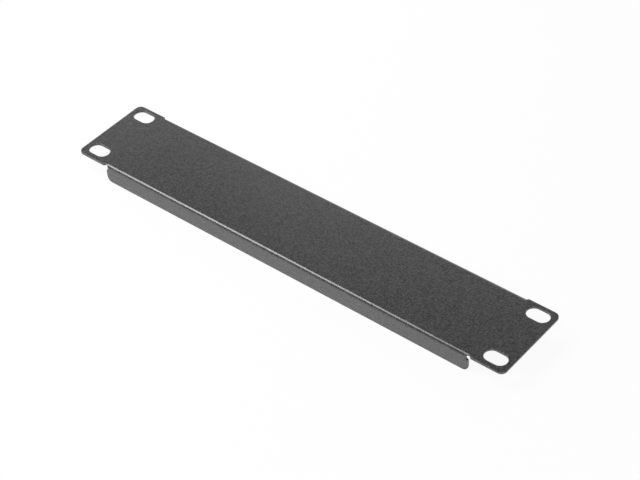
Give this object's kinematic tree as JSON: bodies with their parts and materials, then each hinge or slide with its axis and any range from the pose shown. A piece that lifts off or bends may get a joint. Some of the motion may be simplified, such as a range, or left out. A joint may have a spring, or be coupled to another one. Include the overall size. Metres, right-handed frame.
{
  "type": "rack blanking panel",
  "caption": "Folded sheet-steel blanking panel that closes an unused unit of a half-width equipment rack, with slotted mounting ears and folded-back edges.",
  "frame": {"origin": "centre of the four rail slots, in the plane of the ears' rear faces", "axes": "+X along the panel, +Y across it, +Z out of its front face"},
  "size_m": [0.253, 0.044, 0.01],
  "materials": {
    "powder_coat": "dark grey fine-textured powder coat on steel"
  },
  "bodies": {
    "root": {"blanking_panel": "powder_coat"}
  },
  "joints": []
}
